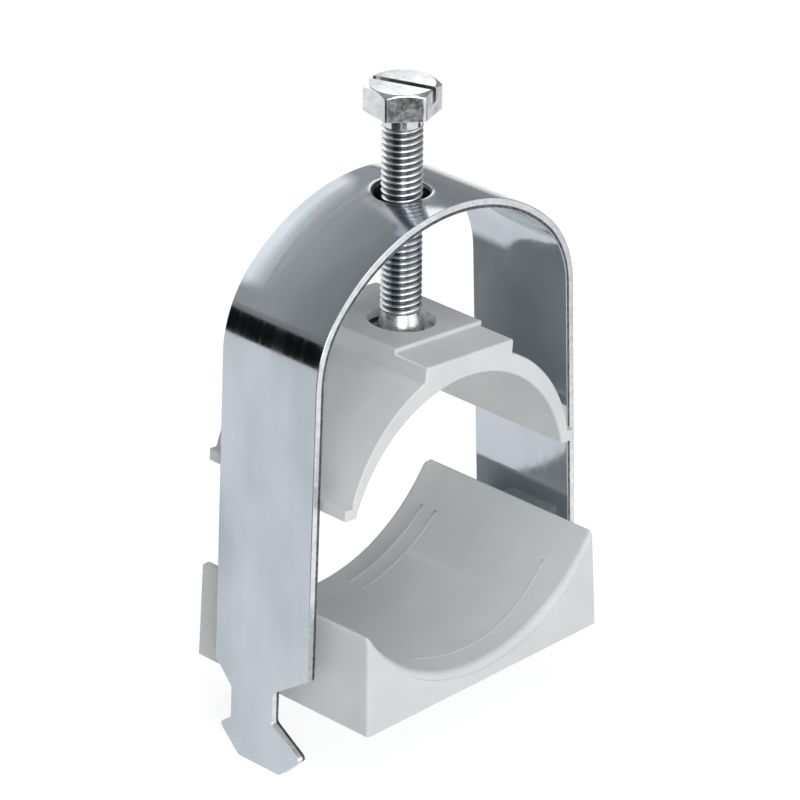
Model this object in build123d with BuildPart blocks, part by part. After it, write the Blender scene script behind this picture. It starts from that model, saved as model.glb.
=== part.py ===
from build123d import *
import os
from math import cos, radians, sin, sqrt, tan

os.makedirs("parts", exist_ok=True)

# A bow clamp for one cable, in millimetres.
# +X runs across the strap's two legs, +Y along the cable and +Z up. The origin is
# the middle of the counter trough's flat underside.

# Cable that the clamp is drawn for, and the play left over it
cable_radius = 28.9
cable_play = 0.55

# Bow strap: bent strip steel
strip_thickness = 2.0
strap_width = 24.4
strap_half_span = 37.1
leg_lean = 2.3
crown_height = 94.5
crown_radius = 40.0
bend_radius = 21.7

# Feet of the strap: the neck stands off centre, so that each foot can be hooked in at
# its deep notch first and then pushed across until both barbs hold
neck_front = -3.05
neck_back = 7.85
front_shoulder_height = 9.5
front_notch_top = 3.6
back_shoulder_height = 5.5
back_notch_top = 0.9
barb_reach = 10.9
barb_tip_height = -7.7
barb_slope = 32.0
sole_depth = 12.8
sole_half_width = 5.5
notch_fillet = 0.8

# Threaded collar drawn down out of the strap's crown
screw_running_clearance = 0.05
collar_mouth_radius = 5.7
collar_radius = 5.9
collar_depth = 2.7

# Clamp screw: slotted hexagon head, M8 thread and a smooth riveted pilot
thread_radius = 3.95
thread_length = 39.9
head_across_flats = 12.9
head_height = 5.3
head_corner_round = 0.9
head_crown_angle = 30.0
head_crown_inset = 0.3
head_turn = -71.0
slot_width = 1.5
slot_depth = 2.8
tip_step = 0.3
tip_taper = 3.2
pilot_radius = 2.7
pilot_rise = 1.7
rivet_radius = 3.6
rivet_height = 0.7
pilot_clearance = 0.1

# Pressure plate: the steel plate that the screw turns in
plate_length = 20.0
plate_width = 12.0
plate_thickness = 1.5
plate_corner = 1.5

# Pressure trough: the upper plastic saddle, which hangs askew on the plate
saddle_tilt = 4.5
saddle_length = 36.0
saddle_crown_wall = 4.1
saddle_end_wall = 2.0
saddle_end_height = 8.0
lip_play = 2.45
lip_height = 2.2
block_half_width = 11.65
block_height = 33.5
platform_length = 19.6
platform_rise = 1.1
well_radius = 6.55
pocket_floor = 1.3
pocket_height = 2.6
pocket_side_play = 0.4
saddle_mouth_edge = 0.6
saddle_edge = 0.4

# Counter trough: the lower plastic saddle, which lies flat between the strap's legs
base_end_gap = 3.6
base_width = 45.9
base_height = 20.1
base_draft = 2.0
base_floor = 3.9
base_arc_radius = 36.1
base_corner = 0.8
base_mouth_edge = 1.5
base_rim_edge = 0.5
rib_width = 0.5
rib_height = 0.12
rib_end = 24.4
front_rib_start = -11.5
front_rib_place = -16.8
front_rib_bow_centre = 7.0
front_rib_bow_radius = 86.0
back_rib_start = 4.0
back_rib_places = (13.6, 17.2)
lug_width = 12.0
lug_low = 10.5
lug_high = 16.5
lug_root = 2.0
lug_clearance = 0.3

# Places that follow from the sizes above
lean_rise = tan(radians(leg_lean))
tilt_sine = sin(radians(saddle_tilt))
tilt_cosine = cos(radians(saddle_tilt))
platform_height = block_height + platform_rise
pocket_centre = cable_radius + pocket_floor + pocket_height / 2
saddle_centre_z = base_floor + cable_radius + cable_play
saddle_centre_x = -pocket_centre * tilt_sine
pivot_z = saddle_centre_z + pocket_centre * tilt_cosine
plate_base_z = pivot_z - plate_thickness / 2
thread_end_z = plate_base_z + plate_thickness + pilot_rise + tip_taper
head_base_z = thread_end_z + thread_length
foot_trim = 2 * strip_thickness


def leg_face(height, inset=0.0):
    """X of the right leg's face at a height, inset from its outer face."""
    return strap_half_span - inset / cos(radians(leg_lean)) - height * lean_rise


def crown_meets_leg():
    """Where the crown's arc would cross the leg's outer face if nothing rounded it."""
    below_centre = crown_height - crown_radius
    a = 1 + lean_rise**2
    b = -2 * (below_centre + strap_half_span * lean_rise)
    c = below_centre**2 + strap_half_span**2 - crown_radius**2
    height = (-b + sqrt(b * b - 4 * a * c)) / (2 * a)
    return (leg_face(height), height)


def arc_cutter(plane, radius, length, mouth_edge):
    """Cylinder for the cable, flared at both mouths so that it leaves rounded edges.

    The plane's origin is the arc's centre, and its X runs along the cable.
    """
    mouth = length / 2
    mouth_radius = radius + mouth_edge
    with BuildPart() as cutter:
        with BuildSketch(plane):
            with BuildLine():
                Line((mouth - mouth_edge, radius), (mouth_edge - mouth, radius))
                RadiusArc((mouth_edge - mouth, radius), (-mouth, mouth_radius), mouth_edge)
                Polyline(
                    (-mouth, mouth_radius),
                    (-mouth - mouth_edge, mouth_radius),
                    (-mouth - mouth_edge, 0),
                    (mouth + mouth_edge, 0),
                    (mouth + mouth_edge, mouth_radius),
                    (mouth, mouth_radius),
                )
                RadiusArc((mouth, mouth_radius), (mouth - mouth_edge, radius), mouth_edge)
            make_face()
        revolve(axis=Axis(plane.origin, plane.x_dir))
    return cutter.part


# Bow strap: the bent strip seen along the cable, cut to the blank's outline
with BuildPart() as bow_strap:
    corner_x, corner_z = crown_meets_leg()
    outline_end = -sole_depth - foot_trim
    front_notch_foot = barb_tip_height + (barb_reach + neck_front) * tan(radians(barb_slope))
    back_notch_foot = barb_tip_height + (barb_reach - neck_back) * tan(radians(barb_slope))
    with BuildSketch(Plane.XZ):
        with BuildLine():
            Polyline(
                (-corner_x, corner_z),
                (-leg_face(outline_end), outline_end),
                (leg_face(outline_end), outline_end),
                (corner_x, corner_z),
            )
            ThreePointArc((corner_x, corner_z), (0, crown_height), (-corner_x, corner_z))
        make_face()
        fillet(vertices().group_by(Axis.Y)[-1], radius=bend_radius)
        offset(amount=-strip_thickness, mode=Mode.SUBTRACT)
    extrude(amount=strap_width / 2, both=True)

    with BuildSketch(Plane.YZ):
        with BuildLine():
            Polyline(
                (-strap_width / 2, crown_height + foot_trim),
                (-strap_width / 2, front_shoulder_height),
                (neck_front, front_notch_top),
                (neck_front, front_notch_foot),
                (-barb_reach, barb_tip_height),
                (-sole_half_width, -sole_depth),
                (sole_half_width, -sole_depth),
                (barb_reach, barb_tip_height),
                (neck_back, back_notch_foot),
                (neck_back, back_notch_top),
                (strap_width / 2, back_shoulder_height),
                (strap_width / 2, crown_height + foot_trim),
                close=True,
            )
        make_face()
        lower_corners = vertices().filter_by(lambda v: v.Y < min(front_shoulder_height, back_shoulder_height))
        fillet(lower_corners, radius=notch_fillet)
    extrude(amount=2 * strap_half_span, both=True, mode=Mode.INTERSECT)

    collar_top = crown_height - strip_thickness
    with BuildSketch(Plane.XY.offset(collar_top - collar_depth)):
        Circle(collar_radius)
    extrude(amount=collar_depth + strip_thickness / 2)
    with Locations((0, 0, crown_height)):
        CounterSinkHole(thread_radius + screw_running_clearance, collar_mouth_radius, counter_sink_angle=90)
bow_strap.part.label = "bow_strap"

# Clamp screw: hexagon head with a turned crown, slot, shank and pilot
with BuildPart() as clamp_screw:
    head_top_z = head_base_z + head_height
    head_corner_radius = head_across_flats / sqrt(3)
    head_crown_radius = head_across_flats / 2 - head_crown_inset
    crown_drop = (head_corner_radius - head_crown_radius) * tan(radians(head_crown_angle))
    with BuildSketch(Plane.XY.offset(head_base_z)):
        RegularPolygon(head_across_flats / 2, side_count=6, major_radius=False, rotation=head_turn + 30)
    extrude(amount=head_height)
    fillet(edges().filter_by(Axis.Z), radius=head_corner_round)
    with BuildSketch(Plane.XZ):
        with BuildLine():
            Polyline(
                (0, head_base_z),
                (head_corner_radius, head_base_z),
                (head_corner_radius, head_top_z - crown_drop),
                (head_crown_radius, head_top_z),
                (0, head_top_z),
                close=True,
            )
        make_face()
    revolve(axis=Axis.Z, mode=Mode.INTERSECT)
    with BuildSketch(Plane.XY.offset(head_top_z)):
        Rectangle(2 * head_corner_radius, slot_width, rotation=head_turn)
    extrude(amount=-slot_depth, mode=Mode.SUBTRACT)

    with BuildSketch(Plane.XZ):
        with BuildLine():
            Polyline(
                (0, plate_base_z),
                (rivet_radius, plate_base_z),
                (pilot_radius, plate_base_z + rivet_height),
                (pilot_radius, plate_base_z + plate_thickness + pilot_rise),
                (thread_radius - tip_step, thread_end_z),
                (thread_radius, thread_end_z + tip_step),
                (thread_radius, head_base_z),
                (0, head_base_z),
                close=True,
            )
        make_face()
    revolve(axis=Axis.Z)
clamp_screw.part.label = "clamp_screw"

# Pressure plate: flat, with a hole that widens downwards to hold the riveted pilot
with BuildPart() as pressure_plate:
    with BuildSketch(Plane.XY.offset(plate_base_z)):
        RectangleRounded(plate_width, plate_length, plate_corner)
    extrude(amount=plate_thickness)
    with BuildSketch(Plane.XZ):
        with BuildLine():
            Polyline(
                (0, plate_base_z),
                (rivet_radius + pilot_clearance, plate_base_z),
                (pilot_radius + pilot_clearance, plate_base_z + rivet_height),
                (pilot_radius + pilot_clearance, plate_base_z + plate_thickness),
                (0, plate_base_z + plate_thickness),
                close=True,
            )
        make_face()
    revolve(axis=Axis.Z, mode=Mode.SUBTRACT)
pressure_plate.part.label = "pressure_plate"


def saddle_level(height):
    """Plane across the tilted pressure trough, at a height above its arc's centre."""
    return Plane(
        origin=(saddle_centre_x + height * tilt_sine, 0, saddle_centre_z + height * tilt_cosine),
        x_dir=(tilt_cosine, 0, -tilt_sine),
        z_dir=(tilt_sine, 0, tilt_cosine),
    )


def off_the_platform(edge):
    """Whether an edge of the pressure trough's shelves is clear of the platform's foot."""
    return abs((edge @ 0.5).Y) > platform_length / 2 + saddle_edge


# Pressure trough: an arch with lipped ends and a block on top that houses the plate
saddle_centre = (saddle_centre_x, 0, saddle_centre_z)
saddle_across = (tilt_cosine, 0, -tilt_sine)
saddle_up = Axis(saddle_centre, (tilt_sine, 0, tilt_cosine))
saddle_mouth = arc_cutter(
    Plane(origin=saddle_centre, x_dir=(0, 1, 0), z_dir=saddle_across),
    cable_radius,
    saddle_length,
    saddle_mouth_edge,
)
with BuildPart() as pressure_trough:
    saddle_end_x = sqrt(cable_radius**2 - saddle_end_height**2) + saddle_end_wall
    saddle_ends = ((-saddle_end_x, saddle_end_height), (saddle_end_x, saddle_end_height))
    lip_top_z = pivot_z - pocket_centre + saddle_end_height + lip_height
    lip_half_span = leg_face(lip_top_z, strip_thickness) - lip_play
    with BuildSketch(Plane(origin=saddle_centre, x_dir=saddle_across, z_dir=(0, -1, 0))):
        with BuildLine():
            ThreePointArc(saddle_ends[0], (0, cable_radius + saddle_crown_wall), saddle_ends[1])
            Line(saddle_ends[1], saddle_ends[0])
        make_face()
        with Locations((0, saddle_end_height)):
            Rectangle(2 * lip_half_span, lip_height, align=(Align.CENTER, Align.MIN))
            Rectangle(2 * block_half_width, block_height - saddle_end_height, align=(Align.CENTER, Align.MIN))
    extrude(amount=saddle_length / 2, both=True)
    with BuildSketch(saddle_level(block_height)):
        Rectangle(2 * block_half_width, platform_length)
    extrude(amount=platform_rise)
    fillet(edges().filter_by(saddle_up) + edges().filter_by(GeomType.CIRCLE), radius=saddle_edge)
    fillet(edges().group_by(saddle_up)[-1], radius=saddle_edge)
    shelf_edges = faces().filter_by(saddle_up).group_by(saddle_up)[-2].edges()
    fillet(shelf_edges.filter_by(off_the_platform), radius=saddle_edge)
    add(saddle_mouth, mode=Mode.SUBTRACT)

    pocket_front = -plate_length / 2 - pocket_side_play
    with BuildSketch(saddle_level(pocket_centre - pocket_height / 2)):
        with Locations((0, pocket_front)):
            Rectangle(
                plate_width + 2 * pocket_side_play,
                saddle_length / 2 - pocket_front,
                align=(Align.CENTER, Align.MIN),
            )
    extrude(amount=pocket_height, mode=Mode.SUBTRACT)
    with BuildSketch(saddle_level(pocket_centre)):
        Circle(well_radius)
    extrude(amount=platform_height, mode=Mode.SUBTRACT)
pressure_trough.part.label = "pressure_trough"

# Fine ribs along the counter trough's arc: a bowed one in front and two straight ones behind
arc_centre_z = base_floor + base_arc_radius
with BuildPart() as base_ribs:
    with BuildSketch():
        with Locations((front_rib_bow_centre, front_rib_place + front_rib_bow_radius)):
            Circle(front_rib_bow_radius + rib_width / 2)
            Circle(front_rib_bow_radius - rib_width / 2, mode=Mode.SUBTRACT)
        with Locations(((front_rib_start + rib_end) / 2, -base_width / 2)):
            Rectangle(rib_end - front_rib_start, base_width, mode=Mode.INTERSECT)
        with Locations(*[((back_rib_start + rib_end) / 2, place) for place in back_rib_places]):
            Rectangle(rib_end - back_rib_start, rib_width)
    extrude(amount=arc_centre_z)
    with BuildSketch(Plane.XZ):
        with Locations((0, arc_centre_z)):
            Circle(base_arc_radius + rib_height)
            Circle(base_arc_radius - rib_height, mode=Mode.SUBTRACT)
    extrude(amount=base_width / 2, both=True, mode=Mode.INTERSECT)

# Counter trough: a block with drafted sides, an arc for the cable and two guide lugs
base_mouth = arc_cutter(
    Plane(origin=(0, 0, arc_centre_z), x_dir=(0, 1, 0), z_dir=(1, 0, 0)),
    base_arc_radius,
    base_width - base_height * tan(radians(base_draft)),
    base_mouth_edge,
)
with BuildPart() as counter_trough:
    base_half_length = leg_face(0, strip_thickness) - base_end_gap
    with BuildSketch():
        Rectangle(2 * base_half_length, base_width)
    extrude(amount=base_height, taper=base_draft)
    fillet(edges().group_by(Axis.Z)[1], radius=base_corner)
    fillet(edges().group_by(Axis.Z)[-1], radius=base_rim_edge)
    add(base_mouth, mode=Mode.SUBTRACT)
    add(base_ribs.part)

    with BuildSketch(Plane.XZ):
        with BuildLine():
            Polyline(
                (base_half_length - lug_root, lug_low),
                (leg_face(lug_low, strip_thickness) - lug_clearance, lug_low),
                (leg_face(lug_high, strip_thickness) - lug_clearance, lug_high),
                (base_half_length - lug_root, lug_high),
                close=True,
            )
        make_face()
        mirror(about=Plane.YZ)
    extrude(amount=lug_width / 2, both=True)
counter_trough.part.label = "counter_trough"

for piece in (bow_strap, clamp_screw, pressure_plate, pressure_trough, counter_trough):
    export_step(piece.part, f"parts/{piece.part.label}.step")
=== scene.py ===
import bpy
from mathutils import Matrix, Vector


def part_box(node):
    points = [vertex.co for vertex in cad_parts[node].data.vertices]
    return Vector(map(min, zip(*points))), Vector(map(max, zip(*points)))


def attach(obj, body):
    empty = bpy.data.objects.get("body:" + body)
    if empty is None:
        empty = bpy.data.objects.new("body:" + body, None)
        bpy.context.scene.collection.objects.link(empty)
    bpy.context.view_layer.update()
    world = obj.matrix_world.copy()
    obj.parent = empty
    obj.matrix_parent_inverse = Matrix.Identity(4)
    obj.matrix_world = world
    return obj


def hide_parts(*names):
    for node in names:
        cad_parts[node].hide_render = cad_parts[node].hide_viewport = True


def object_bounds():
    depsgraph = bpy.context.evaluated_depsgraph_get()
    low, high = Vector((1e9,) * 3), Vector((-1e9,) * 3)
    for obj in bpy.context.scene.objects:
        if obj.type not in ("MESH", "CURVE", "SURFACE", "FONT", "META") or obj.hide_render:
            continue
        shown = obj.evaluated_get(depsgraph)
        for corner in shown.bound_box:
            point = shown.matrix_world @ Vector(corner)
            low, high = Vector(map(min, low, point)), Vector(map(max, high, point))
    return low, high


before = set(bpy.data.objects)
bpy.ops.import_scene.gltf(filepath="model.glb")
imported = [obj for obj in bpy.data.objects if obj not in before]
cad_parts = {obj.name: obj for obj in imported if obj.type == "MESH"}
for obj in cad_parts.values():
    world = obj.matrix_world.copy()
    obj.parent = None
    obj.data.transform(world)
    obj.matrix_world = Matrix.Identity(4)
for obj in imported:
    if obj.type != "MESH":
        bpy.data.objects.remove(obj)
cad_bounds = [list(corner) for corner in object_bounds()]

import math

import bmesh
import bpy
from mathutils import Matrix, Vector

# Camera: at the photograph's place and angle, turned to the middle of the clamp and
# with a longer lens, so that the clamp fills the picture.
camera_place = Vector((-0.6063, -0.5863, 0.4667))
camera_aim = Vector((0.0, 0.0, 0.051))
camera_roll = math.radians(0.483)
camera_lens = 225.0
sensor_width = 36.0
nearest_seen, farthest_seen = 0.05, 20.0

view_back = (camera_place - camera_aim).normalized()
level_right = Vector((0, 0, 1)).cross(view_back).normalized()
level_up = view_back.cross(level_right)
view_right = math.cos(camera_roll) * level_right + math.sin(camera_roll) * level_up
view_up = view_back.cross(view_right)
view_turn = Matrix((view_right, view_up, view_back)).transposed().to_4x4()
camera = bpy.data.objects.new("camera", bpy.data.cameras.new("camera"))
camera.matrix_world = Matrix.Translation(camera_place) @ view_turn
camera.data.lens = camera_lens
camera.data.sensor_width = sensor_width
camera.data.clip_start = nearest_seen
camera.data.clip_end = farthest_seen
bpy.context.collection.objects.link(camera)
bpy.context.scene.camera = camera
bpy.context.scene.view_settings.view_transform = "Standard"


# Studio: a white floor under a white sky, a low soft key lamp at the front left, a weak
# one at the front right and one overhead, and cards that only reflections see, which
# give the bright metal its dark and white lines.
floor_radius = 3.0
floor_sides = 96
floor_height = cad_bounds[0][2]
floor_glow = 1.22
floor_glow_share = 0.62
camera_lift = 0.12
sky_level = 0.28


def linear(hex_colour):
    """Linear colour of an sRGB hex value."""
    parts = [int(hex_colour[i:i + 2], 16) / 255 for i in (1, 3, 5)]
    return [p / 12.92 if p <= 0.04045 else ((p + 0.055) / 1.055) ** 2.4 for p in parts] + [1.0]


def add_node(tree, kind, inputs=None, **settings):
    """Adds a node. An input given as a socket or a node is linked, any other value is set."""
    made = tree.nodes.new(kind)
    for name, value in settings.items():
        setattr(made, name, value)
    for key, value in (inputs or {}).items():
        if isinstance(value, bpy.types.Node):
            value = value.outputs[0]
        if isinstance(value, bpy.types.NodeSocket):
            tree.links.new(value, made.inputs[key])
        else:
            made.inputs[key].default_value = value
    return made


def empty_material(name):
    """A material with nothing in its tree."""
    made = bpy.data.materials.new(name)
    made.use_nodes = True
    made.node_tree.nodes.clear()
    return made


def seen_directly(tree):
    """1 for rays of the camera, of reflections and through glass, else 0."""
    path = add_node(tree, "ShaderNodeLightPath").outputs
    camera_or_gloss = add_node(tree, "ShaderNodeMath", {
        0: path["Is Camera Ray"], 1: path["Is Glossy Ray"],
    }, operation="MAXIMUM")
    return add_node(tree, "ShaderNodeMath", {
        0: camera_or_gloss, 1: path["Is Transmission Ray"],
    }, operation="MAXIMUM")


def link_object(name, mesh, materials=()):
    """A new object at the origin that shows a mesh."""
    made = bpy.data.objects.new(name, mesh)
    for each in materials:
        mesh.materials.append(each)
    bpy.context.collection.objects.link(made)
    return made


def mesh_from(name, shape):
    """A new mesh from a bmesh, which is freed."""
    made = bpy.data.meshes.new(name)
    shape.to_mesh(made)
    shape.free()
    return made


sky = bpy.data.worlds.new("studio_sky")
sky.use_nodes = True
tree = sky.node_tree
tree.nodes.clear()
sky_light = add_node(tree, "ShaderNodeBackground", {"Color": linear("#F4F7FF"), "Strength": sky_level})
sky_white = add_node(tree, "ShaderNodeBackground", {"Color": linear("#FFFFFF"), "Strength": 1.0})
sky_mix = add_node(tree, "ShaderNodeMixShader", {0: seen_directly(tree), 1: sky_light, 2: sky_white})
add_node(tree, "ShaderNodeOutputWorld", {"Surface": sky_mix})
bpy.context.scene.world = sky

# Matt white paint takes the clamp's soft shadow, and a glow that only the camera and
# reflections see lifts the floor to white.
floor_material = empty_material("matt white studio floor")
tree = floor_material.node_tree
floor_paint = add_node(tree, "ShaderNodeBsdfDiffuse", {"Color": linear("#FAFAFA")})
floor_level = add_node(tree, "ShaderNodeMath", {
    0: add_node(tree, "ShaderNodeLightPath").outputs["Is Camera Ray"], 1: camera_lift, 2: floor_glow,
}, operation="MULTIPLY_ADD")
floor_white = add_node(tree, "ShaderNodeEmission", {"Color": linear("#FFFFFF"), "Strength": floor_level})
floor_share = add_node(tree, "ShaderNodeMath", {
    0: seen_directly(tree), 1: floor_glow_share,
}, operation="MULTIPLY")
floor_mix = add_node(tree, "ShaderNodeMixShader", {0: floor_share, 1: floor_paint, 2: floor_white})
add_node(tree, "ShaderNodeOutputMaterial", {"Surface": floor_mix})

floor_disc = bmesh.new()
bmesh.ops.create_circle(
    floor_disc, cap_ends=True, segments=floor_sides, radius=floor_radius,
    matrix=Matrix.Translation((0, 0, floor_height)),
)
link_object("studio_floor", mesh_from("studio_floor", floor_disc), [floor_material])


def reflection_card(name, points, faces, level, fade=None):
    """A stage card that only reflections see, with its points in millimetres.

    A fade gives a centre and two distances from it, also in millimetres: the card is
    clear at the first one and full at the second.
    """
    material = empty_material(name)
    tree = material.node_tree
    surface = add_node(tree, "ShaderNodeEmission", {"Color": linear("#FFFFFF"), "Strength": level})
    if fade:
        centre, clear_distance, full_distance = fade
        distance = add_node(tree, "ShaderNodeVectorMath", {
            0: add_node(tree, "ShaderNodeTexCoord").outputs["Object"], 1: [c / 1000 for c in centre],
        }, operation="DISTANCE")
        share = add_node(tree, "ShaderNodeMapRange", {
            "Value": distance.outputs["Value"],
            "From Min": clear_distance / 1000,
            "From Max": full_distance / 1000,
        }, interpolation_type="SMOOTHSTEP")
        clear = add_node(tree, "ShaderNodeBsdfTransparent")
        surface = add_node(tree, "ShaderNodeMixShader", {0: share, 1: clear, 2: surface})
    add_node(tree, "ShaderNodeOutputMaterial", {"Surface": surface})
    mesh = bpy.data.meshes.new(name)
    mesh.from_pydata([Vector(p) / 1000 for p in points], [], faces)
    card = link_object(name, mesh, [material])
    card.visible_camera = False
    card.visible_diffuse = False
    card.visible_shadow = False


sector_step = 3


def sector(centre, inner, outer, first_turn, last_turn, upright=False):
    """Points and faces of a part of a ring, flat or upright across Y, turned from +X in degrees."""
    points, faces = [], []
    steps = math.ceil((last_turn - first_turn) / sector_step)
    for i in range(steps + 1):
        turn = math.radians(first_turn + (last_turn - first_turn) * i / steps)
        for radius in (inner, outer):
            a, b = radius * math.cos(turn), radius * math.sin(turn)
            points.append([c + d for c, d in zip(centre, (a, 0, b) if upright else (a, b, 0))])
        if i:
            faces.append((2 * i - 2, 2 * i - 1, 2 * i + 1, 2 * i))
    return points, faces


# Cloths just above the floor, with soft edges: they darken the thread's left and right
# sides, the right leg's inner face, the head's front face and the far floor.
cloth_gap = 0.6
cloth_edge = 2900
cloth_middle = (0, 0, 1000 * floor_height + cloth_gap)
leg_cloth_middle = (-66, 108, cloth_middle[2])
for name, shape, level, fade in (
    ("left_cloth", sector(cloth_middle, 60, cloth_edge, 160, 216), 0.03, (cloth_middle, 90, 150)),
    ("leg_cloth", sector(leg_cloth_middle, 1, 56, 0, 360), 0.28, (leg_cloth_middle, 56, 24)),
    ("front_cloth", sector(cloth_middle, 200, cloth_edge, 220, 250), 0.06, (cloth_middle, 244, 262)),
    ("right_cloth", sector(cloth_middle, 60, cloth_edge, 326, 350), 0.03, (cloth_middle, 110, 220)),
    ("back_cloth", sector(cloth_middle, 300, cloth_edge, 15, 65), 0.3, (cloth_middle, 350, 1300)),
):
    reflection_card(name, *shape, level, fade)

# A black wall far off at the back left draws the black band across the left bend.
wall_reach = 950
wall_low, wall_high = 1000 * floor_height, 285
wall_first_turn, wall_last_turn = math.radians(122), math.radians(157)
wall_level = 0.008
wall_points = [
    (wall_reach * math.cos(turn), wall_reach * math.sin(turn), z)
    for z in (wall_low, wall_high) for turn in (wall_first_turn, wall_last_turn)
]
reflection_card("black_wall", wall_points, [(0, 1, 3, 2)], wall_level)

# White and grey fans stand close behind the clamp, drawn round the crown's shape. They
# give the crown its white far edge with a crisp line. White flags beside them light the
# head's top and the pressure plate.
fan_y = 60
white_fan_centre, white_fan_middle = (-8, fan_y, 61.4), (-16, fan_y, 150)
grey_fan_centre = (-8, fan_y + 1, 61.4)
white_fan = sector(white_fan_centre, 60, 89.2, 50, 140, upright=True)
grey_fan = sector(grey_fan_centre, 60, 125, 40, 153, upright=True)
head_flag = [(30, fan_y, 148), (110, fan_y, 148), (110, fan_y, 215), (30, fan_y, 215)]
plate_flag = [(40, fan_y, 90), (66, fan_y, 90), (66, fan_y, 112), (40, fan_y, 112)]
reflection_card("white_fan", *white_fan, 1.4, (white_fan_middle, 68, 52))
reflection_card("grey_fan", *grey_fan, 0.5, (grey_fan_centre, 124, 92))
reflection_card("head_flag", head_flag, [(0, 1, 2, 3)], 1.7, ((68, fan_y, 180), 46, 26))
reflection_card("plate_flag", plate_flag, [(0, 1, 2, 3)], 1.5)

# Grey ceiling over the clamp, open to the white sky at the back and over the camera.
ceiling_radius = 2600
ceiling_back, ceiling_front = 0.69, -0.25
ceiling_rows, ceiling_columns = 24, 96
ceiling_level = 0.33
ceiling_points, ceiling_faces = [], []
for i in range(ceiling_rows + 1):
    along = ceiling_back - (ceiling_back - ceiling_front) * i / ceiling_rows
    ring = math.sqrt(1 - along * along)
    for j in range(ceiling_columns + 1):
        turn = math.pi * j / ceiling_columns
        direction = (ring * math.cos(turn), along, ring * math.sin(turn))
        ceiling_points.append([ceiling_radius * c for c in direction])
for i in range(ceiling_rows):
    for j in range(ceiling_columns):
        corner = i * (ceiling_columns + 1) + j
        below = corner + ceiling_columns + 1
        ceiling_faces.append((corner, corner + 1, below + 1, below))
reflection_card("grey_ceiling", ceiling_points, ceiling_faces, ceiling_level)


def soft_lamp(name, place, size, power):
    """A square area lamp turned to the middle of the clamp."""
    lamp = bpy.data.objects.new(name, bpy.data.lights.new(name, "AREA"))
    lamp.data.shape = "SQUARE"
    lamp.data.size = size
    lamp.data.energy = power
    lamp.location = place
    lamp.rotation_euler = (Vector(place) - camera_aim).to_track_quat("Z", "Y").to_euler()
    bpy.context.collection.objects.link(lamp)


soft_lamp("key_softbox", (-0.98, -1.36, 0.28), size=0.8, power=15.0)
soft_lamp("right_softbox", (0.5, -1.6, 0.45), size=0.9, power=4.2)
soft_lamp("overhead_softbox", (-0.1, -0.42, 1.5), size=1.1, power=8.5)


# Bow strap: strip of zinc-plated steel, punched flat with its feet, drawn down into a
# collar round the screw's hole and then bent into a bow. Its faces are bright from the
# rolls, and its cut edges are rougher.
strip_thickness = 2.0
strap_half_width = 12.2
strap_half_span = 37.1
leg_lean = math.radians(2.3)
crown_height = 94.5
crown_radius = 40.0
bend_radius = 21.7
bend_step = 1.0
notch_fillet = 0.8
edge_round = 0.16
burnished_depth = 1.25

crown_centre_z = crown_height - crown_radius
# The bend touches the leg and the crown: its centre lies on both offset lines.
bend_line_x = strap_half_span - bend_radius / math.cos(leg_lean)
bend_reach = crown_radius - bend_radius
lean_rise = math.tan(leg_lean)
square_a = 1 + lean_rise ** 2
square_b = -2 * (crown_centre_z + bend_line_x * lean_rise)
square_c = crown_centre_z ** 2 + bend_line_x ** 2 - bend_reach ** 2
bend_centre_z = (-square_b + math.sqrt(square_b ** 2 - 4 * square_a * square_c)) / (2 * square_a)
bend_centre_x = bend_line_x - bend_centre_z * lean_rise
crown_end_angle = math.atan2(bend_centre_x, bend_centre_z - crown_centre_z)
leg_angle = math.pi / 2 - leg_lean
crown_end_run = crown_radius * crown_end_angle
leg_start_run = crown_end_run + bend_radius * (leg_angle - crown_end_angle)
leg_start_z = bend_centre_z + bend_radius * math.cos(leg_angle)
leg_start_x = bend_centre_x + bend_radius * math.sin(leg_angle)


def bent_place(run, across, depth):
    """Where a point of the flat blank lies in the bent strap. Run counts from the crown's top."""
    side = math.copysign(1.0, run)
    run = abs(run)
    if run < crown_end_run:
        angle = run / crown_radius
        reach = crown_radius - depth
        x, z = reach * math.sin(angle), crown_centre_z + reach * math.cos(angle)
    elif run < leg_start_run:
        angle = crown_end_angle + (run - crown_end_run) / bend_radius
        reach = bend_radius - depth
        x, z = bend_centre_x + reach * math.sin(angle), bend_centre_z + reach * math.cos(angle)
    else:
        down = run - leg_start_run
        x = leg_start_x + down * math.sin(leg_lean) - depth * math.cos(leg_lean)
        z = leg_start_z - down * math.cos(leg_lean) - depth * math.sin(leg_lean)
    return Vector((side * x, across, z))


def leg_run(height):
    """Run along the blank at which a leg's outer face is at a height."""
    return leg_start_run + (leg_start_z - height) / math.cos(leg_lean)


def rounded(corners, radius, steps=4):
    """A line of points with each inner corner rounded."""
    made = [Vector(corners[0])]
    for before, corner, after in zip(corners, corners[1:], corners[2:]):
        corner = Vector(corner)
        to_before = (Vector(before) - corner).normalized()
        to_after = (Vector(after) - corner).normalized()
        half = to_before.angle(to_after) / 2
        cut = radius / math.tan(half)
        middle = corner + (to_before + to_after).normalized() * (radius / math.sin(half))
        first = corner + to_before * cut - middle
        last = corner + to_after * cut - middle
        swing = first.angle_signed(last)
        for i in range(steps + 1):
            cos, sin = math.cos(-swing * i / steps), math.sin(-swing * i / steps)
            made.append(middle + Vector((first.x * cos - first.y * sin, first.x * sin + first.y * cos)))
    made.append(Vector(corners[-1]))
    return made


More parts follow.
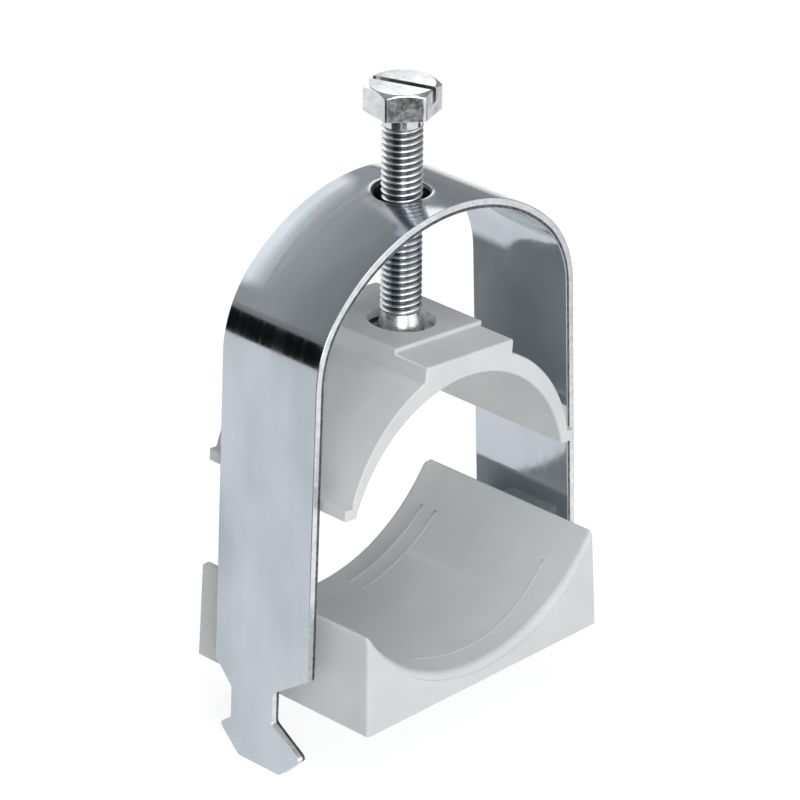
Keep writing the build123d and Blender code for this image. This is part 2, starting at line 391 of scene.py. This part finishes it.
# Corners of a leg's lower end and its foot, across the strip and up from the level of the
# counter trough's underside.
outline_top = 14.0
neck_left, neck_right = -3.05, 7.85
barb_reach, barb_height = 10.9, -7.7
tip_half_width, tip_bottom = 5.5, -12.8
foot_corners = [
    (-strap_half_width, outline_top),
    (-strap_half_width, 9.5),
    (neck_left, 3.6),
    (neck_left, -2.795),
    (-barb_reach, barb_height),
    (-tip_half_width, tip_bottom),
    (tip_half_width, tip_bottom),
    (barb_reach, barb_height),
    (neck_right, -5.794),
    (neck_right, 0.9),
    (strap_half_width, 5.5),
    (strap_half_width, outline_top),
]
foot_outline = rounded(foot_corners, notch_fillet)
blank_outline = [(leg_run(p.y), p.x) for p in foot_outline]
blank_outline += [(-leg_run(p.y), p.x) for p in reversed(foot_outline)]

# Profile of the drawn collar, as distance from the screw's axis and depth: a slight dish
# from the seam circle to the mouth, the mouth's arc, the funnel, the tapped bore, the
# collar's end and its outer wall, which blends into the strip's underside.
seam_radius, seam_steps = 9.0, 72
dish_depth, dish_steps = 0.14, 6
mouth_radius, mouth_arc, mouth_last_turn, mouth_steps = 6.1, 1.1, 74, 6
funnel_foot, funnel_foot_depth = 4.45, 3.5
bore_radius, bore_start, bore_chamfer = 4.02, 3.9, 0.15
collar_radius, collar_bottom, collar_chamfer = 5.9, 4.7, 0.3
blend_radius, blend_steps = 0.7, 4
mouth_first_turn = math.degrees(math.atan(2 * dish_depth / (seam_radius - mouth_radius)))
mouth_first_sin = math.sin(math.radians(mouth_first_turn))
mouth_first_cos = math.cos(math.radians(mouth_first_turn))
collar_profile = []
for i in range(dish_steps):
    share = i / dish_steps
    collar_profile.append((seam_radius - (seam_radius - mouth_radius) * share, dish_depth * share ** 2))
for i in range(mouth_steps + 1):
    turn = math.radians(mouth_first_turn + (mouth_last_turn - mouth_first_turn) * i / mouth_steps)
    collar_profile.append((
        mouth_radius - mouth_arc * (math.sin(turn) - mouth_first_sin),
        dish_depth + mouth_arc * (mouth_first_cos - math.cos(turn)),
    ))
collar_profile += [
    (funnel_foot, funnel_foot_depth),
    (bore_radius, bore_start),
    (bore_radius, collar_bottom - bore_chamfer),
    (bore_radius + bore_chamfer, collar_bottom),
    (collar_radius - collar_chamfer, collar_bottom),
    (collar_radius, collar_bottom - collar_chamfer),
]
for i in range(blend_steps + 1):
    turn = math.radians(90 * i / blend_steps)
    collar_profile.append((
        collar_radius + blend_radius * (1 - math.cos(turn)),
        strip_thickness + blend_radius * (1 - math.sin(turn)),
    ))
collar_profile.append((seam_radius, strip_thickness))


def closed_line(shape, places):
    """The edges of a closed line of new points in a bmesh."""
    verts = [shape.verts.new(place) for place in places]
    return [shape.edges.new(pair) for pair in zip(verts, verts[1:] + verts[:1])]


def seam_circle(radius, z):
    """Places on a circle round the screw's axis."""
    turns = [2 * math.pi * i / seam_steps for i in range(seam_steps)]
    return [(radius * math.cos(turn), radius * math.sin(turn), z) for turn in turns]


def push_out(shape, faces, offset):
    """Extrudes faces of a bmesh by an offset, and leaves the old ones in place."""
    pushed = bmesh.ops.extrude_face_region(shape, geom=faces, use_keep_orig=True)
    verts = [part for part in pushed["geom"] if isinstance(part, bmesh.types.BMVert)]
    bmesh.ops.translate(shape, verts=verts, vec=offset)


blank = bmesh.new()
outline_edges = closed_line(blank, [(run, across, 0) for run, across in blank_outline])
seam_edges = closed_line(blank, seam_circle(seam_radius, 0))
bmesh.ops.triangle_fill(blank, edges=outline_edges + seam_edges, use_beauty=True)
bmesh.ops.recalc_face_normals(blank, faces=blank.faces)
if sum(f.normal.z for f in blank.faces) < 0:
    bmesh.ops.reverse_faces(blank, faces=blank.faces)
push_out(blank, list(blank.faces), (0, 0, -strip_thickness))

touching = 1e-4
seam_play = 1e-3
plane_gap = 1e-5
wall_tilt = 0.3
sharp_edge = 0.5


def on_seam(vert):
    """Whether a point of the blank lies on the circle where the dish starts."""
    return abs(math.hypot(vert.co.x, vert.co.y) - seam_radius) < touching


# The drawn collar takes the place of the disc inside the seam circle.
seam_discs = [f for f in blank.faces if all(on_seam(v) for v in f.verts)]
bmesh.ops.delete(blank, geom=seam_discs, context="FACES")
rim_edges = [
    e for e in blank.edges
    if not on_seam(e.verts[0]) and len(e.link_faces) == 2 and e.calc_face_angle() > sharp_edge
    and abs(e.verts[0].co.z - e.verts[1].co.z) < touching
]
bmesh.ops.bevel(blank, geom=rim_edges, offset=edge_round, segments=2, profile=0.5, affect="EDGES")

# The walls are split along the line between the burnished and the torn part of the edge.
walls = [f for f in blank.faces if abs(f.normal.z) < wall_tilt]
wall_edges = list(dict.fromkeys(e for f in walls for e in f.edges))
wall_verts = list(dict.fromkeys(v for f in walls for v in f.verts))
bmesh.ops.bisect_plane(
    blank, geom=walls + wall_edges + wall_verts, dist=plane_gap,
    plane_co=(0, 0, -burnished_depth), plane_no=(0, 0, 1),
)


def seam_verts(z):
    """The blank's points on the seam circle at a height, in order round the screw's axis."""
    found = [v for v in blank.verts if on_seam(v) and abs(v.co.z - z) < touching]
    return sorted(found, key=lambda v: math.atan2(v.co.y, v.co.x) % (2 * math.pi))


collar_rows = [
    [blank.verts.new(place) for place in seam_circle(radius, -depth)]
    for radius, depth in collar_profile[1:-1]
]
collar_rows = [seam_verts(0)] + collar_rows + [seam_verts(-strip_thickness)]
for upper, lower in zip(collar_rows, collar_rows[1:]):
    for i in range(seam_steps):
        k = (i + 1) % seam_steps
        blank.faces.new((upper[i], lower[i], lower[k], upper[k]))
bmesh.ops.recalc_face_normals(blank, faces=blank.faces)

rolled_slot, burnished_slot, bore_shade_slot, torn_slot = range(4)
bore_shade_inset, bore_shade_rim = 0.35, 0.2
for face in blank.faces:
    face.smooth = True
    middle = face.calc_center_median()
    from_axis = math.hypot(middle.x, middle.y)
    if from_axis < seam_radius:
        # Faces inside the collar's bore take the dark bore material, which is partly painted shade in the
        # hole.
        inside = from_axis < mouth_radius - bore_shade_inset and middle.z > -collar_bottom + bore_shade_rim
        face.material_index = bore_shade_slot if inside else rolled_slot
    elif abs(face.normal.z) < wall_tilt:
        face.material_index = burnished_slot if middle.z > -burnished_depth else torn_slot

# The blank is cut into short steps along its run and bent into the bow.
steps = math.ceil(leg_start_run / bend_step)
for i in range(-steps, steps + 1):
    bmesh.ops.bisect_plane(
        blank, geom=blank.verts[:] + blank.edges[:] + blank.faces[:], dist=plane_gap,
        plane_co=(leg_start_run * i / steps, 0, 0), plane_no=(1, 0, 0),
    )
for vert in blank.verts:
    run, across, depth = vert.co.x, vert.co.y, -vert.co.z
    place = bent_place(run, across, depth)
    from_axis = math.hypot(run, across)
    if from_axis < seam_radius - seam_play:
        # the collar stands upright on the curved crown, and blends into the bent strip
        share = min(1.0, max(0.0, (from_axis - mouth_radius) / (seam_radius - mouth_radius)))
        level = min(1.0, max(0.0, (depth - strip_thickness) / strip_thickness))
        crown_z = crown_centre_z + math.sqrt(crown_radius ** 2 - run ** 2)
        upright = Vector((run, across, crown_z * (1 - level) + crown_height * level - depth))
        place = upright.lerp(place, share)
    vert.co = place / 1000
bmesh.ops.recalc_face_normals(blank, faces=blank.faces)
strap_mesh = mesh_from("bow_strap_bent", blank)

noise_low, noise_high = 0.35, 0.65


def grained_finish(name, even, varied):
    """A material with values that are the same all over it and values that follow noise.

    A varied row gives the shader's input, the size of the noise's features along X, Y and
    Z in millimetres, and the noise's detail. Then come two hex colours, the lowest and the
    highest roughness, or the relief's depth in millimetres, the lowest relief first.
    """
    made = empty_material(name)
    tree = made.node_tree
    place = add_node(tree, "ShaderNodeTexCoord").outputs["Object"]
    inputs = dict(even)
    for socket, sizes_mm, detail, *ends in varied:
        scaled = add_node(tree, "ShaderNodeMapping", {
            "Vector": place, "Scale": [1000 / size for size in sizes_mm],
        })
        noise = add_node(tree, "ShaderNodeTexNoise", {"Vector": scaled, "Scale": 1.0, "Detail": detail})
        if socket == "Normal":
            bump = {"Height": noise, "Distance": ends[0] / 1000, "Strength": 1.0}
            if "Normal" in inputs:
                bump["Normal"] = inputs["Normal"]
            inputs["Normal"] = add_node(tree, "ShaderNodeBump", bump)
            continue
        low, high = ends if socket == "Roughness" else (0, 1)
        inputs[socket] = add_node(tree, "ShaderNodeMapRange", {
            "Value": noise, "From Min": noise_low, "From Max": noise_high, "To Min": low, "To Max": high,
        })
        if socket == "Base Color":
            inputs[socket] = add_node(tree, "ShaderNodeMix", {
                "Factor": inputs[socket], 6: linear(ends[0]), 7: linear(ends[1]),
            }, data_type="RGBA").outputs[2]
    shader = add_node(tree, "ShaderNodeBsdfPrincipled", inputs)
    add_node(tree, "ShaderNodeOutputMaterial", {"Surface": shader})
    return made


# Bright zinc on rolled strip: mirror-like, with fine lines along the rolling direction,
# a faint cloudiness and a slight unevenness that bends reflections.
strap_zinc = grained_finish("bright zinc-plated rolled steel strip", {"Metallic": 1.0}, [
    ("Base Color", (24, 15, 24), 3, "#C3CAD1", "#B4BBC2"),
    ("Roughness", (20, 1.1, 20), 4, 0.08, 0.14),
    ("Normal", (30, 18, 30), 1, 0.012),
    ("Normal", (30, 0.5, 30), 3, 0.0003),
])

# Sheared edge under the same zinc: burnished by the punch next to the outer face, with
# fine streaks across the strip, and torn, rougher and darker next to the inner one.
edge_zinc = grained_finish("zinc-plated burnished steel edge", {"Metallic": 1.0}, [
    ("Base Color", (1.5, 1.5, 1.5), 3, "#E8EAEC", "#D3D7DB"),
    ("Roughness", (0.8, 2.5, 0.8), 3, 0.26, 0.4),
    ("Normal", (0.8, 2.0, 0.8), 2, 0.003),
])
torn_zinc = grained_finish("zinc-plated torn steel edge", {"Metallic": 1.0}, [
    ("Base Color", (0.7, 0.7, 0.7), 3, "#74787D", "#45484C"),
    ("Roughness", (0.5, 0.5, 0.5), 3, 0.38, 0.55),
    ("Normal", (0.4, 0.4, 0.4), 2, 0.01),
])

# Tapped bore: the zinc is thin in the collar, and oily, so it only glints; its dark colour is partly that
# and partly painted shade in the deep hole.
bore_zinc_and_shade = grained_finish("dull oiled zinc with painted shade in the tapped collar", {"Metallic": 1.0, "Roughness": 0.35}, [
    ("Base Color", (0.8, 0.8, 0.3), 3, "#595C60", "#303236"),
    ("Normal", (3, 3, 0.4), 2, 0.02),
])


def apply_modifiers(obj):
    """Turns an object's modified shape into its plain mesh."""
    plain = bpy.data.meshes.new_from_object(obj.evaluated_get(bpy.context.evaluated_depsgraph_get()))
    obj.modifiers.clear()
    obj.data = plain
    plain.name = obj.name


bow_strap = link_object("bow_strap_bent", strap_mesh, [strap_zinc, edge_zinc, bore_zinc_and_shade, torn_zinc])
weigh = bow_strap.modifiers.new("weigh", "WEIGHTED_NORMAL")
weigh.keep_sharp = True
apply_modifiers(bow_strap)
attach(bow_strap, "frame")
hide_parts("bow_strap")


# Clamp screw: zinc-plated steel, its hexagon head forged and slotted, its M8 thread
# rolled, and its tip turned. The thread follows a right-hand helix up to the head.
head_height = 5.3
head_edge_round, head_edge_angle = 0.14, math.radians(28)
tip_height = 6.7
thread_pitch = 1.25
thread_crest_radius = 3.95
thread_root_radius = 3.25
thread_overlap = 0.04
crest_flat, flank_end = 0.12, 0.8
steps_per_turn = 48
rows_per_pitch = 12
neck_length, neck_radius = 2.8, 3.75
shoulder_top_radius, shoulder_foot_radius = 3.5, 4.55
shoulder_drop, shoulder_height = 0.4, 4.2
weld_gap = 2e-6

screw_low, screw_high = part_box("clamp_screw")
head_base = screw_high.z * 1000 - head_height
thread_top = head_base - neck_length
thread_bottom = screw_low.z * 1000 + tip_height

# Bright zinc on the rolled thread: small dents and fine turning marks, and painted shade in
# the thread's roots, darker towards the axis, set by the distance from the screw's axis.
screw_zinc = grained_finish("bright zinc-plated screw steel", {"Metallic": 1.0}, [
    ("Base Color", (3, 3, 3), 3, "#EDEEF0", "#D6D9DC"),
    ("Roughness", (1.2, 1.2, 0.5), 3, 0.15, 0.26),
    ("Normal", (3.0, 3.0, 3.0), 1, 0.015),
    ("Normal", (2.5, 2.5, 0.2), 2, 0.001),
])
# Painted shade: the colour darkens from just inside the crest down to the thread's roots.
root_shade_end_inset = 0.1
tree = screw_zinc.node_tree
shader_colour = tree.nodes["Principled BSDF"].inputs["Base Color"]
plating = shader_colour.links[0].from_socket
beside_axis = add_node(tree, "ShaderNodeVectorMath", {
    0: add_node(tree, "ShaderNodeTexCoord").outputs["Object"], 1: (1, 1, 0),
}, operation="MULTIPLY")
axis_distance = add_node(tree, "ShaderNodeVectorMath", {0: beside_axis}, operation="LENGTH")
unshaded_share = add_node(tree, "ShaderNodeMapRange", {
    "Value": axis_distance.outputs["Value"],
    "From Min": thread_root_radius / 1000,
    "From Max": (thread_crest_radius - root_shade_end_inset) / 1000,
}, interpolation_type="SMOOTHSTEP")
root_shaded_colour = add_node(tree, "ShaderNodeMix", {
    "Factor": unshaded_share, 6: linear("#585C61"), 7: plating,
}, data_type="RGBA")
tree.links.new(root_shaded_colour.outputs[2], shader_colour)

# Forged head under the same zinc: a soft mirror, with shallow scale marks and dents.
head_zinc = grained_finish("bright zinc-plated forged head", {"Metallic": 1.0}, [
    ("Base Color", (2.5, 2.5, 2.5), 3, "#E3E5E7", "#CBCFD2"),
    ("Roughness", (1.0, 1.0, 1.0), 3, 0.14, 0.26),
    ("Normal", (2.0, 2.0, 2.0), 2, 0.012),
])

# The tip is turned bright, with fine marks round it.
tip_zinc = grained_finish("turned bright steel tip", {"Metallic": 1.0}, [
    ("Base Color", (1.5, 1.5, 6), 2, "#F6F7F8", "#C9CCCF"),
    ("Roughness", (1.0, 1.0, 0.4), 3, 0.18, 0.32),
    ("Normal", (2.5, 2.5, 0.3), 2, 0.006),
])

thread_tree = bpy.data.node_groups.new("rolled_thread", "GeometryNodeTree")
thread_tree.interface.new_socket("Thread", in_out="OUTPUT", socket_type="NodeSocketGeometry")
thread_inputs = {}
for name, kind, value in (
    ("Bottom", "NodeSocketFloat", (thread_bottom - thread_overlap) / 1000),
    ("Top", "NodeSocketFloat", (thread_top + thread_overlap) / 1000),
    ("Pitch", "NodeSocketFloat", thread_pitch / 1000),
    ("Crest Radius", "NodeSocketFloat", thread_crest_radius / 1000),
    ("Root Radius", "NodeSocketFloat", thread_root_radius / 1000),
    ("Steps per Turn", "NodeSocketInt", steps_per_turn),
    ("Rows per Pitch", "NodeSocketInt", rows_per_pitch),
    ("Material", "NodeSocketMaterial", screw_zinc),
):
    socket = thread_tree.interface.new_socket(name, in_out="INPUT", socket_type=kind)
    thread_inputs[socket.identifier] = value
given = add_node(thread_tree, "NodeGroupInput").outputs

# A ribbon as wide as the pitch winds up the screw, and its edges meet turn by turn. A
# whole number of steps in each turn lets each turn's edge meet the next one's.
maths = "ShaderNodeMath"
length = add_node(thread_tree, maths, {0: given["Top"], 1: given["Bottom"]}, operation="SUBTRACT")
pitches = add_node(thread_tree, maths, {0: length, 1: given["Pitch"]}, operation="DIVIDE")
turns = add_node(thread_tree, maths, {0: pitches, 1: 1.0}, operation="ADD")
free_steps = add_node(thread_tree, maths, {0: turns, 1: given["Steps per Turn"]}, operation="MULTIPLY")
ribbon_steps = add_node(thread_tree, maths, {0: free_steps}, operation="CEIL")
columns = add_node(thread_tree, maths, {0: ribbon_steps, 1: 1.0}, operation="ADD")
rows = add_node(thread_tree, maths, {0: given["Rows per Pitch"], 1: 1.0}, operation="ADD")
ribbon = add_node(thread_tree, "GeometryNodeMeshGrid", {
    "Size X": 1.0, "Size Y": 1.0, "Vertices X": columns, "Vertices Y": rows,
})
position = add_node(thread_tree, "GeometryNodeInputPosition")
spot = add_node(thread_tree, "ShaderNodeSeparateXYZ", {0: position}).outputs

# How far a point of the ribbon is turned round the screw, and how high it lies.
whole_steps = add_node(thread_tree, maths, {0: columns, 1: 1.0}, operation="SUBTRACT")
whole_turns = add_node(thread_tree, maths, {0: whole_steps, 1: given["Steps per Turn"]}, operation="DIVIDE")
along_ribbon = add_node(thread_tree, maths, {0: spot["X"], 1: 0.5}, operation="ADD")
turned = add_node(thread_tree, maths, {0: along_ribbon, 1: whole_turns}, operation="MULTIPLY")
angle = add_node(thread_tree, maths, {0: turned, 1: 2 * math.pi}, operation="MULTIPLY")
turns_up = add_node(thread_tree, maths, {0: turned, 1: 1.0}, operation="SUBTRACT")
rise = add_node(thread_tree, maths, {0: turns_up, 1: given["Pitch"]}, operation="MULTIPLY")
ribbon_low = add_node(thread_tree, maths, {0: given["Bottom"], 1: rise}, operation="ADD")
across_ribbon = add_node(thread_tree, maths, {0: spot["Y"], 1: 0.5}, operation="ADD")
up_pitch = add_node(thread_tree, maths, {0: across_ribbon, 1: given["Pitch"]}, operation="MULTIPLY")
free_height = add_node(thread_tree, maths, {0: ribbon_low, 1: up_pitch}, operation="ADD")
over_bottom = add_node(thread_tree, maths, {0: free_height, 1: given["Bottom"]}, operation="MAXIMUM")
height = add_node(thread_tree, maths, {0: over_bottom, 1: given["Top"]}, operation="MINIMUM")

# The flank falls from the crest in the ribbon's middle to the roots at its edges.
over_low = add_node(thread_tree, maths, {0: height, 1: ribbon_low}, operation="SUBTRACT")
up_ribbon = add_node(thread_tree, maths, {0: over_low, 1: given["Pitch"]}, operation="DIVIDE")
doubled = add_node(thread_tree, maths, {0: up_ribbon, 1: 2.0}, operation="MULTIPLY")
centred = add_node(thread_tree, maths, {0: doubled, 1: 1.0}, operation="SUBTRACT")
from_crest = add_node(thread_tree, maths, {0: centred}, operation="ABSOLUTE")
flank = add_node(thread_tree, "ShaderNodeMapRange", {
    "Value": from_crest, "From Min": crest_flat, "From Max": flank_end,
    "To Min": given["Crest Radius"], "To Max": given["Root Radius"],
})
cosine = add_node(thread_tree, maths, {0: angle}, operation="COSINE")
sine = add_node(thread_tree, maths, {0: angle}, operation="SINE")
wound = add_node(thread_tree, "ShaderNodeCombineXYZ", {
    "X": add_node(thread_tree, maths, {0: flank, 1: cosine}, operation="MULTIPLY"),
    "Y": add_node(thread_tree, maths, {0: flank, 1: sine}, operation="MULTIPLY"),
    "Z": height,
})
helicoid = add_node(thread_tree, "GeometryNodeSetPosition", {"Geometry": ribbon, "Position": wound})
joined = add_node(thread_tree, "GeometryNodeMergeByDistance", {"Geometry": helicoid, "Distance": weld_gap})
realised = add_node(thread_tree, "GeometryNodeRealizeInstances", {"Geometry": joined})
finished = add_node(thread_tree, "GeometryNodeSetMaterial", {
    "Geometry": realised, "Material": given["Material"],
})
add_node(thread_tree, "NodeGroupOutput", {0: finished})

thread = link_object("rolled_thread", bpy.data.meshes.new("rolled_thread"))
wind = thread.modifiers.new("wind", "NODES")
wind.node_group = thread_tree
for identifier, value in thread_inputs.items():
    wind[identifier] = value
apply_modifiers(thread)

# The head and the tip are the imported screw's own, with its plain shank taken away and
# a short smooth neck put under the head and a flared shoulder under the thread.
shank_tilt, shank_end_play, shank_radius_play = 0.05, 0.01, 0.02
ends = bmesh.new()
ends.from_mesh(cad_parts["clamp_screw"].data)
bmesh.ops.remove_doubles(ends, verts=ends.verts, dist=weld_gap)
shank_low, shank_high = thread_bottom - shank_end_play, head_base + shank_end_play
shank = [
    f for f in ends.faces
    if abs(f.normal.z) < shank_tilt
    and all(shank_low < v.co.z * 1000 < shank_high for v in f.verts)
    and all(
        abs(math.hypot(v.co.x, v.co.y) * 1000 - thread_crest_radius) < shank_radius_play
        for v in f.verts
    )
]
bmesh.ops.delete(ends, geom=shank, context="FACES")
bmesh.ops.holes_fill(ends, edges=[e for e in ends.edges if e.is_boundary], sides=0)
neck_middle = head_base - neck_length / 2 + thread_overlap
shoulder_middle = thread_bottom - shoulder_drop - shoulder_height / 2
for foot_radius, top_radius, depth, middle in (
    (neck_radius, neck_radius, neck_length, neck_middle),
    (shoulder_foot_radius, shoulder_top_radius, shoulder_height, shoulder_middle),
):
    bmesh.ops.create_cone(
        ends, cap_ends=True, segments=steps_per_turn, radius1=foot_radius / 1000,
        radius2=top_radius / 1000, depth=depth / 1000, matrix=Matrix.Translation((0, 0, middle / 1000)),
    )
bmesh.ops.dissolve_limit(ends, angle_limit=math.radians(1), verts=ends.verts, edges=ends.edges)
bmesh.ops.recalc_face_normals(ends, faces=ends.faces)
head_slot, tip_slot = 1, 2
for face in ends.faces:
    face.smooth = True
    in_head = face.calc_center_median().z * 1000 > thread_bottom
    face.material_index = head_slot if in_head else tip_slot
ends_mesh = mesh_from("clamp_screw_threaded", ends)
clamp_screw = link_object("clamp_screw_threaded", ends_mesh, [screw_zinc, head_zinc, tip_zinc])
soften = clamp_screw.modifiers.new("soften", "BEVEL")
soften.width = head_edge_round / 1000
soften.segments = 2
soften.limit_method = "ANGLE"
soften.angle_limit = head_edge_angle
clamp_screw.modifiers.new("weigh", "WEIGHTED_NORMAL")
apply_modifiers(clamp_screw)

# The thread's two ends are closed, and it becomes one mesh with the head and the tip.
whole = bmesh.new()
whole.from_mesh(thread.data)
bmesh.ops.holes_fill(whole, edges=[e for e in whole.edges if e.is_boundary], sides=0)
bmesh.ops.recalc_face_normals(whole, faces=whole.faces)
for face in whole.faces:
    face.smooth = True
whole.to_mesh(thread.data)
whole.free()
bpy.context.view_layer.objects.active = clamp_screw
with bpy.context.temp_override(active_object=clamp_screw, selected_editable_objects=[clamp_screw, thread]):
    bpy.ops.object.join()
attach(clamp_screw, "screw")
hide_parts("clamp_screw")


# Pressure plate: a small blank of the same steel, barrel-plated, that the screw's pilot
# is riveted through. It lies in the pressure trough's pocket. Tumbling in the barrel
# leaves it a little cloudy and finely pitted.
plate_zinc = grained_finish("barrel-plated steel sheet", {"Metallic": 1.0}, [
    ("Base Color", (2, 2, 2), 3, "#D8DBDE", "#B9BEC3"),
    ("Roughness", (0.8, 0.8, 0.8), 3, 0.12, 0.24),
    ("Normal", (0.3, 0.3, 0.3), 2, 0.006),
])
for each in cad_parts["pressure_plate"].material_slots:
    each.material = plate_zinc


# Pressure trough: the upper saddle, one moulding of light grey polyamide with a fine
# spark-eroded grain. It hangs on the pressure plate, which goes in at its back end. The
# grain is drawn three times as coarse as it is, so that it shows.
grain_size = 0.3
crisp_corner = math.radians(35)
cut_weld, cut_sliver = 1e-5, 1e-6


def moulded_polyamide(name, light, dark):
    """Moulded polyamide: a matt sheen, slight clouding from the melt's flow, and a fine grain."""
    return grained_finish(name, {"Metallic": 0.0}, [
        ("Base Color", (11, 8, 11), 3, light, dark),
        ("Roughness", (1.6, 1.6, 1.6), 3, 0.42, 0.58),
        ("Normal", (9, 9, 9), 1, 0.05),
        ("Normal", (grain_size, grain_size, grain_size), 2, 0.016),
    ])


def dressed_moulding(node, material, body, cutter=None):
    """Puts a smooth-shaded copy of a moulding, less a cutter's shape, in its node's place."""
    merged = bmesh.new()
    merged.from_mesh(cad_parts[node].data)
    bmesh.ops.remove_doubles(merged, verts=merged.verts, dist=weld_gap)
    bmesh.ops.dissolve_limit(merged, angle_limit=math.radians(1), verts=merged.verts, edges=merged.edges)
    for face in merged.faces:
        face.smooth = True
        face.material_index = 0
    made = link_object(node + "_rounded", mesh_from(node + "_rounded", merged), [material])
    if cutter:
        cut = made.modifiers.new("cut", "BOOLEAN")
        cut.operation = "DIFFERENCE"
        cut.solver = "EXACT"
        cut.object = cutter
        apply_modifiers(made)
        bpy.data.objects.remove(cutter)
        cleaned = bmesh.new()
        cleaned.from_mesh(made.data)
        bmesh.ops.remove_doubles(cleaned, verts=cleaned.verts, dist=cut_weld)
        bmesh.ops.dissolve_degenerate(cleaned, edges=cleaned.edges, dist=cut_sliver)
        cleaned.to_mesh(made.data)
        cleaned.free()
    made.data.set_sharp_from_angle(angle=crisp_corner)
    weigh = made.modifiers.new("weigh", "WEIGHTED_NORMAL")
    weigh.keep_sharp = True
    apply_modifiers(made)
    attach(made, body)
    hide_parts(node)


upper_plastic = moulded_polyamide("light grey moulded polyamide upper", "#D8DAD8", "#D1D3D2")
dressed_moulding("pressure_trough", upper_plastic, "saddle")


# Counter trough: the lower saddle, a drafted block of the same polyamide with fine ribs
# along its arc. It stands loose between the strap's legs. A cutter rounds the ends of its
# two lips, along the trough's whole length.
lip_round = 2.2
lip_height, lip_half_width, lip_draft = 20.1, 22.95, math.radians(2)
cutter_spare, cutter_half_length, cutter_steps = 1.0, 40, 12

round_z = lip_height - lip_round
round_y = lip_half_width - round_z * math.tan(lip_draft) - lip_round
cutter_outline = [
    (round_y, lip_height + cutter_spare),
    (round_y + lip_round + cutter_spare, lip_height + cutter_spare),
    (round_y + lip_round + cutter_spare, round_z),
]
for i in range(cutter_steps + 1):
    turn = math.radians(90 * i / cutter_steps)
    cutter_outline.append((round_y + lip_round * math.cos(turn), round_z + lip_round * math.sin(turn)))
cutter_shape = bmesh.new()
for side in (-1, 1):
    face = cutter_shape.faces.new([
        cutter_shape.verts.new((-cutter_half_length / 1000, side * y / 1000, z / 1000))
        for y, z in cutter_outline
    ])
    push_out(cutter_shape, [face], (2 * cutter_half_length / 1000, 0, 0))
bmesh.ops.recalc_face_normals(cutter_shape, faces=cutter_shape.faces)
lip_cutter = link_object("lip_cutter", mesh_from("lip_cutter", cutter_shape))
# Painted shade: the lower moulding's colours are a touch darker than the upper one's, as it sits under the
# upper trough.
lower_plastic_shaded = moulded_polyamide("light grey moulded polyamide lower", "#D6D8D7", "#CFD2D1")
dressed_moulding("counter_trough", lower_plastic_shaded, "frame", lip_cutter)
